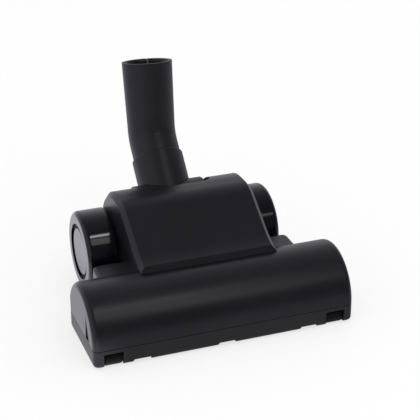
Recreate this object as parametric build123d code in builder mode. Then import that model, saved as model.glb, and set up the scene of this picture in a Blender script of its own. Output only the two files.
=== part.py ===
from build123d import *
import os
from math import atan2, cos, degrees, hypot, radians, sin, sqrt, tan

os.makedirs("parts", exist_ok=True)

# A suction-driven floor brush. X runs along the nose, Y runs backwards and Z is up.
# The origin lies on the floor under the middle of the whole.
# Driving dimensions are in millimetres. A setback is counted backwards from the nose's front face.

# nose, made of an upper and a lower housing that meet at the parting line
nose_width = 210.0
nose_depth = 70.0
barrel_radius = 36.2
parting_z = 15.8
sole_z = 1.0
wall = 2.4
nose_round = 4.5
foot_round = 3.0
groove_height = 0.5
groove_depth = 0.8
seat_gap = 0.1
cut_over = 1.0

# flat deck behind the nose, in front of the wheels
deck_margin = 22.6
deck_back = 84.0
deck_z = 42.0
deck_round = 5.0
deck_rim_round = 3.5
deck_floor_z = 4.0

# hood over the turbine and the neck's pivot
hood_half = 55.5
hood_foot = (37.8, 50.0)
hood_front = (41.5, 57.2)
hood_slope = 32.5
hood_straight = 33.0
hood_shoulder_radius = 30.0
hood_crest = (101.0, 108.0)
hood_top = 86.3
hood_back_radius = 42.5
hood_bevel_side = 3.4
hood_bevel_drop = 3.8
neck_slot_half = 29.4
neck_slot_front = 112.3
neck_slot_floor = 27.0
slot_corner = 10.0

# rear tray of the lower housing
tray_floor_z = 5.0
tray_round = 3.0
rear_slope = 6.0

# pivoting neck: drum, sleeve and bent tube all lie in the middle plane
pivot_setback = 133.0
pivot_z = 50.75
drum_radius = 26.5
drum_half = 28.6
drum_wall = 2.2
drum_window = (166.0, 262.0)
window_steps = 4
window_reach = 37.0
trunnion_radius = 6.0
trunnion_reach = 34.6
bush_radius = 8.0
bracket_thickness = 4.2
bracket_gap = 1.2
running_fit = 0.05
seat_fit = 0.03
swivel_fit = 0.07
sleeve_lean = 44.3
sleeve_radius = 21.4
sleeve_end = 50.2
sleeve_rim_round = 0.8
stub_end = 34.0
elbow_distance = 70.4
elbow_bend = 30.0
tube_lean = 13.75
tube_turn = 3.0
tube_length = 62.5
taper_lead = 2.0
tube_radius = 19.9
tube_bore = 17.4
mouth_radius = 21.0
socket_radius = 17.6
socket_length = 38.0
lead_in_radius = 18.4
lead_in_depth = 2.0
stop_radius = 16.4
stop_width = 3.0
stub_bore = 17.6
spigot_start = 35.5
snap_ring_at = 40.5
snap_ring_width = 1.6
snap_ring_depth = 0.8
slit_width = 1.0
slit_length = 14.0
slit_x = 6.5

# rear wheels on stub axles
wheel_setback = 126.1
wheel_radius = 33.0
wheel_gap = 1.8
wheel_width = 24.3
wheel_shoulder = 4.0
wheel_inner_round = 1.0
wheel_rim = 3.2
rim_opening = 23.0
rim_recess = 2.7
web_thickness = 2.6
hub_radius = 8.0
hub_cap_radius = 19.4
hub_cap_thickness = 1.8
hub_cap_round = 0.6
spoke_count = 6
spoke_thickness = 1.8
axle_radius = 4.0
axle_head = 5.6
axle_head_height = 1.7
axle_head_thickness = 1.5
head_gap = 0.2
axle_tip_gap = 0.5
boss_radius = 8.4
boss_depth = 9.0
boss_pad = 1.2

# front rollers in pockets of the lower housing
roller_margin = 8.4
roller_width = 13.7
roller_radius = 5.6
roller_setback = 6.6
roller_bore = 1.55
roller_pin = 1.5
roller_pin_seat = 3.0
roller_round = 1.2
pocket_gap = 0.7
pocket_clear = 0.8
window_height = 12.4

# brush roll and its drive
roll_setback = 36.2
roll_z = 23.0
roll_radius = 12.5
bristle_radius = 22.2
bristle_width = 3.6
bristle_root = 10.8
bristle_margin = 3.6
bristle_turn = 92.5
bristle_rows = 2
roll_margin = 0.8
roll_taper = 1.2
roll_axle_radius = 3.0
roll_axle_setin = 1.0
bearing_radius = 7.0
bearing_width = 5.0
holder_margin = 10.0
holder_width = 6.0
holder_half = 9.2
holder_floor_z = 11.2
holder_gap = 0.2
mouth_margin = 21.0
mouth_front = 14.0
mouth_back = 59.0

# ribbed belt between the roll and the turbine
belt_centre = -43.0
belt_width = 6.4
belt_ribs = 3
belt_rib_height = 1.0
rib_shape = ((-0.42, 0), (-0.16, 1), (0.16, 1), (0.42, 0))
belt_thickness = 1.1
belt_fit = 0.06
roll_pulley_radius = 11.0
turbine_pulley_radius = 5.2
flange_height = 1.6
flange_width = 1.2
cover_width = 11.2
cover_wall = 1.6
cover_clearance = 1.8
cover_side_gap = 1.0
belt_slot_front = 52.0
belt_slot_low = 17.0
belt_slot_high = 50.0

# turbine in its case under the hood
turbine_setback = 85.0
turbine_z = 44.0
turbine_radius = 17.0
turbine_half = 14.0
turbine_blades = 12
blade_thickness = 1.3
blade_sink = 0.5
blade_middle = (11.2, 1.2)
blade_tip = (15.1, 5.8)
turbine_hub = 6.0
turbine_plate = 1.4
turbine_shaft_radius = 2.5
shaft_stub = 1.0
case_clearance = 0.9
case_wall = 1.9
case_gap = 0.5
duct_half = 15.5
inlet_low = 17.6
inlet_high = 28.4
inlet_meets = 46.0
outlet_low = 35.0
outlet_end = 113.0
turbine_bearing_radius = 6.5
turbine_bearing_width = 3.5

# fasteners
housing_screw_front = (45.0, 7.5)
housing_screw_back_margin = 7.4
housing_screw_back_setback = 76.0
screw_radius = 1.6
screw_head = 3.2
screw_head_height = 1.8
screw_length = 20.0
screw_boss = 3.8
screw_gap = 0.15
screw_sink = 0.4
front_boss_height = 11.5
rib_start = 2.7
blind_end = 1.0
hood_screw_x = 49.8
hood_screw_setbacks = (104.0, 142.0)
hood_screw_length = 12.0
hood_boss_height = 16.0
ledge_thickness = 3.0
ledge_reach = 9.0
ledge_margin = 1.0
plate_screw_radius = 1.2
plate_screw_head = 2.2
plate_screw_length = 6.0

# sole plate round the suction mouth
plate_rim = 7.0
plate_front = 13.2
plate_back = 66.0
plate_thickness = 1.8
plate_gap = 0.2
plate_lap = 3.0
plate_screw_back = (31.0, 62.6)
plate_screw_end = (3.0, 50.0)

# notches in the front lip
notch_height = 2.8
notch_slope = 1.6
notch_width = 12.6
notch_margin = 9.0

# blade-shaped recess in each end face of the nose
end_recess_foot = (13.0, 22.2)
end_recess_top = 20.5
end_recess_depth = 1.0
end_recess_height = 19.0
end_recess_rise = 1.2

# places worked out from the driving dimensions
sleeve_way = (sin(radians(sleeve_lean)), cos(radians(sleeve_lean)))
bend = sleeve_lean - tube_lean
bend_reach = elbow_bend * tan(radians(bend / 2))
turn_share = cos(radians(bend)) * (1 - cos(radians(tube_turn)))
tube_way = (
    sin(radians(bend)) * sin(radians(tube_turn)),
    sin(radians(tube_lean)) * cos(radians(tube_turn)) + sleeve_way[0] * turn_share,
    cos(radians(tube_lean)) * cos(radians(tube_turn)) + sleeve_way[1] * turn_share,
)
tube_across = (
    cos(radians(tube_turn)),
    sleeve_way[1] * sin(radians(tube_turn)),
    -sleeve_way[0] * sin(radians(tube_turn)),
)
sleeve_bore = tube_radius + swivel_fit
elbow = (pivot_setback + elbow_distance * sleeve_way[0], pivot_z + elbow_distance * sleeve_way[1])
mouth_setback = elbow[0] + tube_length * tube_way[1]
overall_depth = mouth_setback + mouth_radius * sqrt(1 - tube_way[1] ** 2)
front_y = -overall_depth / 2
barrel_setback = barrel_radius
deck_half = nose_width / 2 - deck_margin
hood_back = hood_crest[1] + hood_back_radius
wheel_inner = hood_half + wheel_gap
wheel_outer = wheel_inner + wheel_width
roller_outer = nose_width / 2 - roller_margin
roller_inner = roller_outer - roller_width
mouth_half = nose_width / 2 - mouth_margin
plate_half = mouth_half + plate_rim
plate_screw_places = (
    (plate_half - plate_screw_back[0], plate_screw_back[1]),
    (plate_half - plate_screw_end[0], plate_screw_end[1]),
)
housing_screw_back = (deck_half - housing_screw_back_margin, housing_screw_back_setback)
bristle_end = mouth_half - bristle_margin
bristle_lead = bristle_turn / bristle_end
roll_end = mouth_half - roll_margin
holder_inner = mouth_half + holder_margin
notch_outer = roller_inner - notch_margin
notch_spans = (
    (-notch_outer, notch_width - notch_outer),
    (-notch_width / 2, notch_width / 2),
    (notch_outer - notch_width, notch_outer),
)
bracket_inner = drum_half + bracket_gap
wheel_z = wheel_radius
roller_z = roller_radius
join = nose_depth - 2 * tray_round


def yz(setback, height):
    """Middle-plane point from a setback and a height."""
    return (front_y + setback, height)


def across(setback, height):
    """Plane through a cross axle, whose sketch X runs along the axle and Y is the radius."""
    origin = (0, front_y + setback, height)
    return Plane(origin=origin, x_dir=(1, 0, 0), z_dir=(0, -1, 0))


def along_neck(distance):
    """Plane square to the sleeve's axis, at a distance from the pivot."""
    origin = (0, front_y + pivot_setback + distance * sleeve_way[0], pivot_z + distance * sleeve_way[1])
    return Plane(origin=origin, x_dir=(1, 0, 0), z_dir=(0, sleeve_way[0], sleeve_way[1]))


def along_tube(distance):
    """Plane square to the upper tube's axis, at a distance above the elbow."""
    origin = Vector(0, front_y + elbow[0], elbow[1]) + distance * Vector(*tube_way)
    return Plane(origin=origin, x_dir=tube_across, z_dir=tube_way)


def turned(setback, height, outline):
    """Piece turned about a cross axle from (x, radius) points."""
    plane = across(setback, height)
    with BuildPart() as piece:
        with BuildSketch(plane):
            with BuildLine():
                Polyline(*outline, close=True)
            make_face()
        revolve(axis=Axis(plane.origin, (1, 0, 0)))
    return piece.part


def ring(setback, height, start, end, inner, outer):
    """Plain bush or ring on a cross axle."""
    return turned(setback, height, [(start, inner), (end, inner), (end, outer), (start, outer)])


def save(part, name):
    part.label = name
    export_step(part, "parts/" + name + ".step")


def span(side, inner, outer):
    """Ordered x limits of a piece on the left (-1) or right (+1)."""
    return (side * inner, side * outer) if side > 0 else (side * outer, side * inner)


def barrel_section(inset, foot):
    """D-shaped section of the nose, inset from its outer surface and running down to foot."""
    centre_y = front_y + barrel_setback
    radius = barrel_radius - inset
    back = front_y + nose_depth - inset
    back_z = parting_z + sqrt(radius ** 2 - (back - centre_y) ** 2)
    with BuildSketch(Plane.YZ) as section:
        with BuildLine():
            low_front = (centre_y - radius, foot)
            spring = (centre_y - radius, parting_z)
            crown = (centre_y, parting_z + radius)
            if foot < parting_z:
                Line(low_front, spring)
            ThreePointArc(spring, crown, (back, back_z))
            Line((back, back_z), (back, foot))
            Line((back, foot), low_front)
        make_face()
    return section.sketch


def hood_section(inset, foot, x=0.0, clip=None):
    """Side outline of the hood: steep front bevel, hollow foot, straight slope, crest and round back."""
    slope = (cos(radians(hood_slope)), sin(radians(hood_slope)))
    high = (hood_crest[0] - hood_shoulder_radius * slope[1], hood_top - hood_shoulder_radius * (1 - slope[0]))
    low = (high[0] - hood_straight * slope[0], high[1] - hood_straight * slope[1])
    back = (hood_back, hood_top - hood_back_radius)
    with BuildSketch(Plane.YZ.offset(x)) as section:
        with BuildLine():
            Line(yz(hood_foot[0], foot), yz(*hood_foot))
            Line(yz(*hood_foot), yz(*hood_front))
            TangentArc(yz(*low), yz(*hood_front), tangent=(-slope[0], -slope[1]))
            Line(yz(*low), yz(*high))
            TangentArc(yz(*high), yz(hood_crest[0], hood_top), tangent=slope)
            Line(yz(hood_crest[0], hood_top), yz(hood_crest[1], hood_top))
            TangentArc(yz(hood_crest[1], hood_top), yz(*back), tangent=(1, 0))
            Line(yz(*back), yz(hood_back, foot))
            Line(yz(hood_back, foot), yz(hood_foot[0], foot))
        make_face()
        if inset:
            offset(amount=-inset, kind=Kind.INTERSECTION)
        if clip:
            front, back, low, high = clip
            with Locations(yz((front + back) / 2, (low + high) / 2)):
                Rectangle(back - front, high - low, mode=Mode.INTERSECT)
    return section.sketch


def cross_section(setback, height, x=0.0, turn=0.0):
    """Plane square to a cross axle, with sketch X backwards and sketch Y up."""
    way = (0, cos(radians(turn)), sin(radians(turn)))
    return Plane(origin=(x, front_y + setback, height), x_dir=way, z_dir=(1, 0, 0))


# lower housing: nose tray with the suction mouth and roller pockets, deck floor and rear tray
with BuildPart() as lower_housing:
    with BuildSketch(Plane.XY.offset(sole_z)):
        with Locations((0, front_y + nose_depth / 2)):
            RectangleRounded(nose_width, nose_depth, nose_round)
    extrude(amount=parting_z - sole_z)
    fillet(lower_housing.faces().sort_by(Axis.Z)[0].edges(), foot_round)
    with BuildSketch(Plane.XY.offset(deck_floor_z)):
        with Locations((0, front_y + (join + deck_back) / 2)):
            RectangleRounded(2 * deck_half, deck_back - join, deck_round)
    extrude(amount=parting_z - deck_floor_z)
    with BuildSketch(Plane.XY.offset(tray_floor_z)):
        with Locations((0, front_y + (join + hood_back) / 2)):
            RectangleRounded(2 * hood_half, hood_back - join, tray_round)
    extrude(amount=parting_z - tray_floor_z)
    with BuildSketch(Plane.YZ):
        with BuildLine():
            Polyline(
                yz(hood_back - rear_slope, tray_floor_z),
                yz(hood_back + cut_over, tray_floor_z + rear_slope + cut_over),
                yz(hood_back + cut_over, tray_floor_z),
                close=True,
            )
        make_face()
    extrude(amount=hood_half, both=True, mode=Mode.SUBTRACT)

    # hollows of the rear tray and of the deck on both sides
    with BuildSketch(Plane.XY.offset(tray_floor_z + wall)):
        hollow_front = mouth_back + wall
        with Locations((0, front_y + (hollow_front + hood_back - wall) / 2)):
            RectangleRounded(2 * (hood_half - wall), hood_back - wall - hollow_front, tray_round - wall)
        for side in (-1, 1):
            with Locations((side * (hood_half + deck_half) / 2, front_y + (nose_depth + deck_back) / 2)):
                Rectangle(deck_half - hood_half - 2 * wall, deck_back - nose_depth - 2 * wall)
    extrude(amount=parting_z, mode=Mode.SUBTRACT)

    # suction mouth, front lip hollow and the wells of the roll's bearing holders
    with BuildSketch(Plane.XY):
        with Locations((0, front_y + (mouth_front + mouth_back) / 2)):
            RectangleRounded(2 * mouth_half, mouth_back - mouth_front, wall)
    extrude(amount=2 * parting_z, mode=Mode.SUBTRACT)
    with BuildSketch(Plane.XY.offset(sole_z + 2 * wall)):
        with Locations((0, front_y + mouth_front / 2)):
            Rectangle(2 * (roller_inner - pocket_gap - 2 * wall), mouth_front - 2 * wall)
    extrude(amount=parting_z, mode=Mode.SUBTRACT)
    with BuildSketch(Plane.XY.offset(holder_floor_z)):
        with Locations((0, front_y + roll_setback)):
            Rectangle(nose_width - 2 * wall, 2 * (holder_half + holder_gap))
    extrude(amount=parting_z, mode=Mode.SUBTRACT)

    # recess that takes the sole plate
    with BuildSketch(Plane.XY):
        with Locations((0, front_y + (plate_front + plate_back) / 2)):
            RectangleRounded(2 * (plate_half + plate_gap), plate_back - plate_front + 2 * plate_gap, wall)
    extrude(amount=sole_z + plate_thickness, mode=Mode.SUBTRACT)

    # pockets, windows and pin bores of the front rollers
    for side in (-1, 1):
        low, high = span(side, roller_inner - pocket_gap, roller_outer + pocket_gap)
        reach = roller_radius + pocket_clear
        pocket_start = roller_setback - roller_radius - pocket_clear / 2
        for start, end, top in (
            (pocket_start, roller_setback + reach, roller_z + reach),
            (-cut_over, pocket_start, window_height),
        ):
            with BuildSketch(Plane.XY):
                with Locations(((low + high) / 2, front_y + (start + end) / 2)):
                    Rectangle(high - low, end - start)
            extrude(amount=top, mode=Mode.SUBTRACT)
        with BuildSketch(cross_section(roller_setback, roller_z, low - roller_pin_seat)):
            Circle(roller_pin + seat_fit)
        extrude(amount=high - low + 2 * roller_pin_seat, mode=Mode.SUBTRACT)

    # notches that let air in under the front lip
    with BuildSketch(Plane.XZ.offset(-front_y - mouth_front)):
        for low, high in notch_spans:
            top = sole_z + notch_height
            with BuildLine():
                Polyline((low - notch_slope, 0), (high + notch_slope, 0), (high, top), (low, top), close=True)
            make_face()
    extrude(amount=mouth_front + wall, mode=Mode.SUBTRACT)

    # dark line along the parting: a shallow rebate round the nose
    with BuildSketch(Plane.XY.offset(parting_z - groove_height)):
        with Locations((0, front_y + nose_depth / 2)):
            RectangleRounded(nose_width + wall, nose_depth, nose_round)
            RectangleRounded(
                nose_width - 2 * groove_depth,
                nose_depth - 2 * groove_depth,
                nose_round - groove_depth,
                mode=Mode.SUBTRACT,
            )
        with Locations((0, front_y + nose_depth)):
            Rectangle(nose_width - nose_depth, nose_depth, mode=Mode.SUBTRACT)
    extrude(amount=groove_height, mode=Mode.SUBTRACT)

    # columns, shank holes and head recesses of the housing screws
    for place, foot in ((housing_screw_front, sole_z), (housing_screw_back, deck_floor_z)):
        with BuildSketch(Plane.XY.offset(foot + wall)):
            for side in (-1, 1):
                with Locations((side * place[0], front_y + place[1])):
                    Circle(screw_boss)
        extrude(amount=parting_z - foot - wall)
        with BuildSketch(Plane.XY):
            for side in (-1, 1):
                with Locations((side * place[0], front_y + place[1])):
                    Circle(screw_radius + screw_gap)
        extrude(amount=parting_z, mode=Mode.SUBTRACT)
        with BuildSketch(Plane.XY):
            for side in (-1, 1):
                with Locations((side * place[0], front_y + place[1])):
                    Circle(screw_head + screw_gap)
        extrude(amount=foot + screw_head_height + screw_sink, mode=Mode.SUBTRACT)

    # blind holes of the sole plate's screws
    with BuildSketch(Plane.XY):
        for place in plate_screw_places:
            for side in (-1, 1):
                with Locations((side * place[0], front_y + place[1])):
                    Circle(plate_screw_radius + seat_fit)
    extrude(amount=sole_z + plate_thickness + plate_screw_length, mode=Mode.SUBTRACT)
save(lower_housing.part, "lower_housing")


# sole plate: closes the bearing wells and frames the suction mouth
with BuildPart() as sole_plate:
    with BuildSketch(Plane.XY.offset(sole_z)):
        with Locations((0, front_y + (plate_front + plate_back) / 2)):
            RectangleRounded(2 * plate_half, plate_back - plate_front, wall)
        with Locations((0, front_y + (mouth_front + mouth_back) / 2)):
            RectangleRounded(
                2 * (mouth_half - plate_lap), mouth_back - mouth_front - 2 * plate_lap, 2 * wall, mode=Mode.SUBTRACT
            )
        for place in plate_screw_places:
            for side in (-1, 1):
                with Locations((side * place[0], front_y + place[1])):
                    Circle(plate_screw_radius + screw_gap, mode=Mode.SUBTRACT)
    extrude(amount=plate_thickness)
    with BuildSketch(Plane.XY.offset(sole_z)):
        for place in plate_screw_places:
            for side in (-1, 1):
                with Locations((side * place[0], front_y + place[1])):
                    Circle(plate_screw_head + screw_gap)
    extrude(amount=plate_thickness / 2, mode=Mode.SUBTRACT)
save(sole_plate.part, "sole_plate")


# upper housing: nose cover, deck and the open frame under the hood
with BuildPart() as upper_housing:
    with BuildSketch(Plane.XY.offset(parting_z)):
        with Locations((0, front_y + (barrel_setback + deck_back) / 2)):
            Rectangle(2 * deck_half, deck_back - barrel_setback)
    extrude(amount=deck_z - parting_z)
    deck_rear = upper_housing.faces().sort_by(Axis.Y)[-1]
    fillet(deck_rear.edges().filter_by(Axis.Z), deck_round)
    rim = upper_housing.faces().sort_by(Axis.Z)[-1].edges()
    front_edge = rim.filter_by(Axis.X).sort_by(Axis.Y)[0]
    fillet([edge for edge in rim if edge != front_edge], deck_rim_round)

    extrude(barrel_section(0, parting_z), amount=nose_width / 2, both=True)
    for face in (upper_housing.faces().sort_by(Axis.X)[0], upper_housing.faces().sort_by(Axis.X)[-1]):
        fillet([edge for edge in face.edges() if edge.center().Z > parting_z + wall], nose_round)

    # box frame under the hood, up to the deck's level
    with BuildSketch(Plane.XY.offset(parting_z)):
        with Locations((0, front_y + (join + hood_back) / 2)):
            RectangleRounded(2 * hood_half, hood_back - join, tray_round)
    extrude(amount=deck_z - parting_z)

    # hollows of the nose, the frame and the deck
    extrude(barrel_section(wall, parting_z - cut_over), amount=nose_width / 2 - wall, both=True, mode=Mode.SUBTRACT)
    with BuildSketch(Plane.XY.offset(parting_z)):
        with Locations((0, front_y + (nose_depth + hood_back - wall) / 2)):
            Rectangle(2 * (hood_half - wall), hood_back - wall - nose_depth)
    extrude(amount=deck_z, mode=Mode.SUBTRACT)
    with BuildSketch(Plane.XY.offset(parting_z)):
        for side in (-1, 1):
            with Locations((side * (hood_half + deck_half) / 2, front_y + (nose_depth + deck_back - wall) / 2)):
                Rectangle(deck_half - hood_half - 2 * wall, deck_back - wall - nose_depth)
    extrude(amount=deck_z - wall - parting_z, mode=Mode.SUBTRACT)

    # the case's front bulges into the corner above the barrel
    with BuildSketch(Plane.YZ):
        with Locations(yz(nose_depth - barrel_radius / 4, (parting_z + deck_z + cut_over) / 2)):
            Rectangle(barrel_radius / 2 + cut_over, deck_z + cut_over - parting_z)
        add(barrel_section(0, parting_z), mode=Mode.SUBTRACT)
    extrude(amount=hood_half - wall, both=True, mode=Mode.SUBTRACT)

    # window to the turbine's inlet, slot for the belt and the neck's cut-out at the back
    with BuildSketch(Plane.XZ.offset(-front_y - nose_depth - cut_over)):
        with Locations((0, (inlet_low + inlet_high) / 2)):
            Rectangle(2 * duct_half, inlet_high - inlet_low)
    extrude(amount=2 * (wall + cut_over), mode=Mode.SUBTRACT)
    with BuildSketch(Plane.XZ.offset(-front_y - nose_depth - cut_over)):
        with Locations((belt_centre, (belt_slot_low + belt_slot_high) / 2)):
            Rectangle(cover_width + 2 * seat_gap, belt_slot_high - belt_slot_low)
    extrude(amount=nose_depth - belt_slot_front, mode=Mode.SUBTRACT)
    with BuildSketch(Plane.XZ.offset(-front_y - hood_back - cut_over)):
        with Locations((0, (neck_slot_floor + deck_z + cut_over) / 2)):
            Rectangle(2 * neck_slot_half, deck_z + cut_over - neck_slot_floor)
    extrude(amount=2 * (wall + cut_over), mode=Mode.SUBTRACT)

    # brackets of the neck's pivot, joined by a floor below the drum
    bracket_front = pivot_setback - bush_radius - wall
    with BuildSketch(Plane.XY.offset(parting_z)):
        with Locations((0, front_y + (bracket_front + hood_back - wall) / 2)):
            Rectangle(2 * (bracket_inner + bracket_thickness), hood_back - wall - bracket_front)
    extrude(amount=wall)
    for side in (-1, 1):
        low, high = span(side, bracket_inner, bracket_inner + bracket_thickness)
        with BuildSketch(Plane.YZ.offset(low)):
            with BuildLine():
                Polyline(
                    yz(bracket_front, parting_z),
                    yz(hood_back - wall, parting_z),
                    yz(hood_back - wall, deck_z),
                    yz(pivot_setback + bush_radius + wall, pivot_z - seat_gap),
                    yz(bracket_front, pivot_z - seat_gap),
                    close=True,
                )
            make_face()
            with Locations(yz(pivot_setback, pivot_z)):
                Circle(bush_radius + seat_fit, mode=Mode.SUBTRACT)
        extrude(amount=high - low)

    # bosses of the wheels' axles inside the frame's side walls
    for side in (-1, 1):
        low, high = span(side, hood_half - wall - boss_depth, hood_half + boss_pad)
        with BuildSketch(cross_section(wheel_setback, wheel_z, low)):
            Circle(boss_radius)
        extrude(amount=high - low)
        with BuildSketch(cross_section(wheel_setback, wheel_z, low)):
            Circle(axle_radius + seat_fit)
        extrude(amount=high - low, mode=Mode.SUBTRACT)

    # ledges that carry the hood, with the holes of its screws
    for setback in hood_screw_setbacks:
        for side in (-1, 1):
            with BuildSketch(Plane.XY.offset(deck_z - ledge_thickness)):
                with Locations((side * (hood_half - wall - ledge_reach / 2), front_y + setback)):
                    Rectangle(ledge_reach, 2 * (screw_boss + ledge_margin))
                with Locations((side * hood_screw_x, front_y + setback)):
                    Circle(screw_radius + screw_gap, mode=Mode.SUBTRACT)
            extrude(amount=ledge_thickness)

    # bosses of the housing screws
    with BuildSketch(Plane.XY.offset(parting_z)):
        for side in (-1, 1):
            with Locations((side * housing_screw_front[0], front_y + housing_screw_front[1])):
                Circle(screw_boss)
            with Locations((side * housing_screw_front[0], front_y + (rib_start + housing_screw_front[1]) / 2)):
                Rectangle(wall, housing_screw_front[1] - rib_start)
    extrude(amount=front_boss_height)
    with BuildSketch(Plane.XY.offset(parting_z)):
        for side in (-1, 1):
            with Locations((side * housing_screw_back[0], front_y + housing_screw_back[1])):
                Circle(screw_boss)
    extrude(amount=deck_z - wall - parting_z)
    with BuildSketch(Plane.XY.offset(parting_z)):
        for place in (housing_screw_front, housing_screw_back):
            for side in (-1, 1):
                with Locations((side * place[0], front_y + place[1])):
                    Circle(screw_radius + seat_fit)
    extrude(amount=front_boss_height - blind_end, mode=Mode.SUBTRACT)

    # blade-shaped recesses in the end faces
    for side in (-1, 1):
        low, high = span(side, nose_width / 2 - end_recess_depth, nose_width / 2 + cut_over)
        with BuildSketch(Plane.YZ.offset(low)):
            with BuildLine():
                foot_z = parting_z + end_recess_rise
                Polyline(
                    yz(end_recess_foot[0], foot_z),
                    yz(end_recess_foot[1], foot_z),
                    yz(end_recess_top, foot_z + end_recess_height),
                    close=True,
                )
            make_face()
        extrude(amount=high - low, mode=Mode.SUBTRACT)
save(upper_housing.part, "upper_housing")


# hood: shell with bevelled edges and the cut-out that the neck tilts in
with BuildPart() as hood_cover:
    extrude(hood_section(0, deck_z), amount=hood_half, both=True)
    side_faces = [hood_cover.faces().sort_by(Axis.X)[0], hood_cover.faces().sort_by(Axis.X)[-1]]
    for face in side_faces:
        picked = [edge for edge in face.edges() if edge.center().Z > hood_front[1]]
        chamfer(picked, hood_bevel_drop, hood_bevel_side, reference=face)
    extrude(hood_section(wall, deck_z - 2 * wall), amount=hood_half - wall, both=True, mode=Mode.SUBTRACT)

    # seat on the nose's barrel
    with BuildSketch(cross_section(barrel_setback, parting_z, -hood_half - cut_over)):
        Circle(barrel_radius + seat_gap)
    extrude(amount=2 * (hood_half + cut_over), mode=Mode.SUBTRACT)

    # cut-out of the neck, open to the back
    slot_end = hood_back + 2 * slot_corner
    with BuildSketch(Plane.XY.offset(deck_z - cut_over)):
        with Locations((0, front_y + (neck_slot_front + slot_end) / 2)):
            RectangleRounded(2 * neck_slot_half, slot_end - neck_slot_front, slot_corner)
    extrude(amount=hood_top, mode=Mode.SUBTRACT)

    # screw bosses that reach down to the ledges, and the upper halves of the pivot's saddles
    for setback in hood_screw_setbacks:
        with BuildSketch(Plane.XY.offset(deck_z)):
            for side in (-1, 1):
                with Locations((side * hood_screw_x, front_y + setback)):
                    Circle(screw_boss)
                    Circle(screw_radius + seat_fit, mode=Mode.SUBTRACT)
        extrude(amount=hood_boss_height)
    for side in (-1, 1):
        low, high = span(side, bracket_inner, bracket_inner + bracket_thickness)
        cheek = (pivot_setback - bush_radius - wall, hood_back, pivot_z + seat_gap, hood_top + wall)
        extrude(hood_section(seat_fit, deck_z, low, cheek), amount=high - low)
        with BuildSketch(cross_section(pivot_setback, pivot_z, low)):
            Circle(bush_radius + seat_fit)
        extrude(amount=high - low, mode=Mode.SUBTRACT)
save(hood_cover.part, "hood_cover")


# rear wheels: open moulded rims with a web, a hub and spokes on the inner side
def build_wheel(side):
    def points(*outline):
        return [(side * x, radius) for x, radius in outline]

    web = wheel_outer - rim_recess
    inner_rim = wheel_radius - wheel_rim
    plane = across(wheel_setback, wheel_z)
    with BuildPart() as wheel:
        with BuildSketch(plane):
            with BuildLine():
                Polyline(
                    *points(
                        (wheel_inner, inner_rim),
                        (wheel_inner, wheel_radius),
                        (wheel_outer, wheel_radius),
                        (wheel_outer, rim_opening),
                        (web, rim_opening),
                        (web, axle_head + head_gap),
                        (web - axle_head_height, axle_head + head_gap),
                        (web - axle_head_height, axle_radius + running_fit),
                        (wheel_inner, axle_radius + running_fit),
                        (wheel_inner, hub_radius),
                        (web - web_thickness, hub_radius),
                        (web - web_thickness, inner_rim),
                    ),
                    close=True,
                )
            make_face()
        revolve(axis=Axis(plane.origin, (1, 0, 0)))
        big = wheel.edges().filter_by(GeomType.CIRCLE).group_by(SortBy.LENGTH)[-1]
        outer = [edge for edge in big if abs(edge.center().X) > wheel_outer - wheel_rim]
        inner = [edge for edge in big if abs(edge.center().X) < wheel_inner + wheel_rim]
        fillet(outer, wheel_shoulder)
        fillet(inner, wheel_inner_round)
        low, high = span(side, wheel_inner + wheel_rim, web - web_thickness / 2)
        for spoke in range(spoke_count):
            with BuildSketch(cross_section(wheel_setback, wheel_z, low, 360 * spoke / spoke_count)):
                with Locations(((hub_radius + inner_rim) / 2, 0)):
                    Rectangle(inner_rim - hub_radius + cut_over, spoke_thickness)
            extrude(amount=high - low)
    return wheel.part


for name, side in (("left", -1), ("right", 1)):
    save(build_wheel(side), "wheel_" + name)
    web = wheel_outer - rim_recess
    cap_face = web + hub_cap_thickness
    low, high = span(side, web, cap_face)
    with BuildPart() as hub_cap:
        with BuildSketch(cross_section(wheel_setback, wheel_z, low)):
            Circle(hub_cap_radius)
        extrude(amount=high - low)
        outer_edge = hub_cap.faces().sort_by(Axis.X)[-1 if side > 0 else 0].edges()
        fillet(outer_edge, hub_cap_round)
    save(hub_cap.part, "hub_cap_" + name)
    head_face = web - (axle_head_height - axle_head_thickness) / 2
    shank_end = hood_half - wall - boss_depth + axle_tip_gap
    axle = turned(
        wheel_setback,
        wheel_z,
        [
            (side * shank_end, 0),
            (side * shank_end, axle_radius),
            (side * (head_face - axle_head_thickness), axle_radius),
            (side * (head_face - axle_head_thickness), axle_head),
            (side * head_face, axle_head),
            (side * head_face, 0),
        ],
    )
    save(axle, "wheel_axle_" + name)


# front rollers with their pins
for name, side in (("left", -1), ("right", 1)):
    low, high = span(side, roller_inner, roller_outer)
    with BuildPart() as front_roller:
        with BuildSketch(cross_section(roller_setback, roller_z, low)):
            Circle(roller_radius)
            Circle(roller_bore, mode=Mode.SUBTRACT)
        extrude(amount=high - low)
        ends = front_roller.edges().filter_by(GeomType.CIRCLE).group_by(SortBy.LENGTH)[-1]
        fillet(ends, roller_round)
    save(front_roller.part, "front_roller_" + name)
    low, high = span(side, roller_inner - pocket_gap - roller_pin_seat, roller_outer + pocket_gap + roller_pin_seat)
    pin = turned(roller_setback, roller_z, [(low, 0), (low, roller_pin), (high, roller_pin), (high, 0)])
    save(pin, "roller_pin_" + name)


# brush roll: a moulded core with helical channels, the belt's pulley and a steel axle through it
def ribbed_outline(centre, radius, flange):
    """Outer (x, radius) points of a ribbed pulley between its flanges."""
    pitch = belt_width / belt_ribs
    depth = belt_rib_height + 3 * belt_fit
    half = belt_width / 2 + belt_fit * 3
    points = [(centre - half - flange_width, radius + flange), (centre - half, radius + flange)]
    points.append((centre - half, radius))
    for rib in range(belt_ribs):
        middle = centre + (rib - (belt_ribs - 1) / 2) * pitch
        for share, level in rib_shape:
            points.append((middle + pitch * share, radius - depth * level))
    points.append((centre + half, radius))
    points.append((centre + half, radius + flange))
    points.append((centre + half + flange_width, radius + flange))
    return points


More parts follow.
